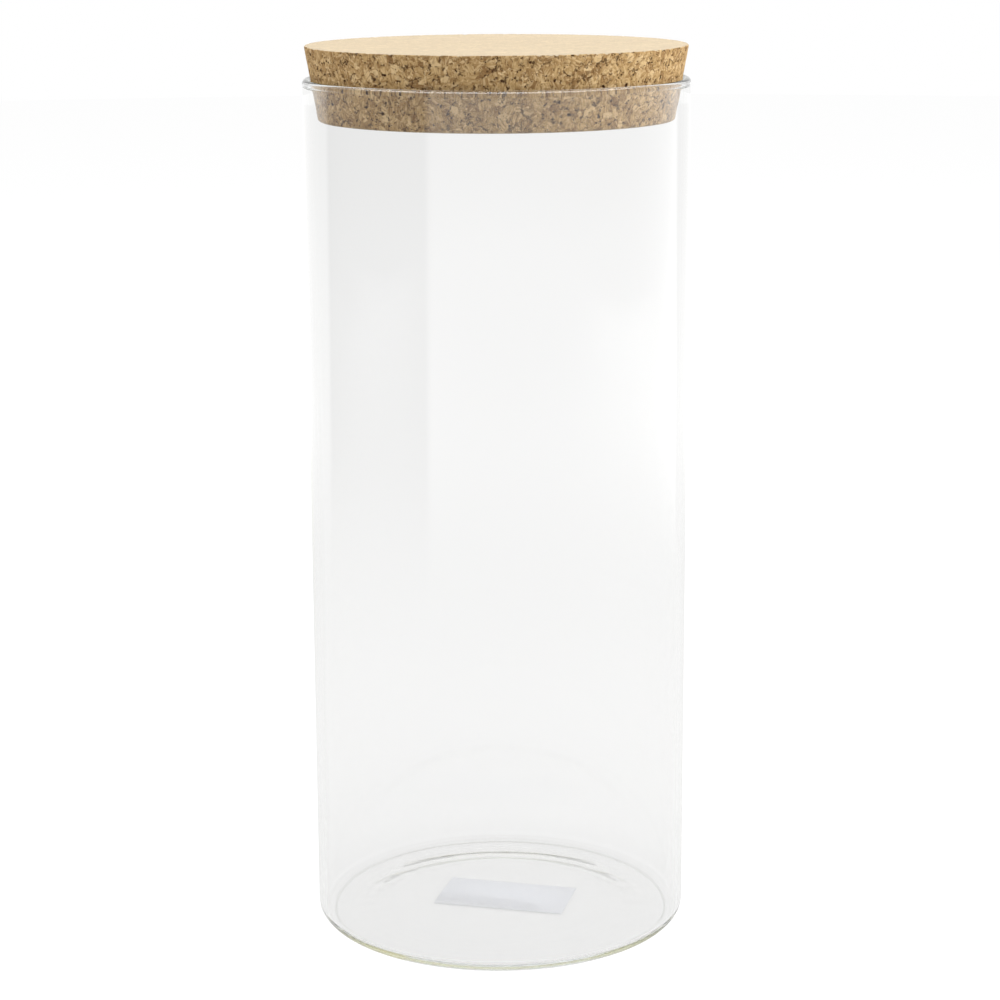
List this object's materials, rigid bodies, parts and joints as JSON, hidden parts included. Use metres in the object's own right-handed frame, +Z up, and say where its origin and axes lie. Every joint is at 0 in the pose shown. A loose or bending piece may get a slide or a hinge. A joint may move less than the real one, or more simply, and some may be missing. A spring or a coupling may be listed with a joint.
{
  "type": "glass jar with cork lid",
  "caption": "Tall straight round jar of clear glass with a rounded lip and heel, closed by a thick tapered lid of pressed cork.",
  "frame": {"origin": "centre of the ring that the jar stands on, on the table", "axes": "+Z up along the axis of the jar and the lid, -Y towards the picture's camera, +X to the right of the picture"},
  "size_m": [0.1002, 0.1002, 0.2354],
  "materials": {
    "clear_glass": "polished",
    "pressed_cork": "matte",
    "label_paper": "matte"
  },
  "bodies": {
    "jar": {"glass_jar": "clear_glass", "base_label": "label_paper"},
    "lid": {"cork_lid": "pressed_cork"}
  },
  "joints": [
    {"name": "lid_lift", "type": "slide", "parent": "jar", "child": "lid", "axis": [0, 0, 1], "range_m": [0, 0.12]}
  ]
}
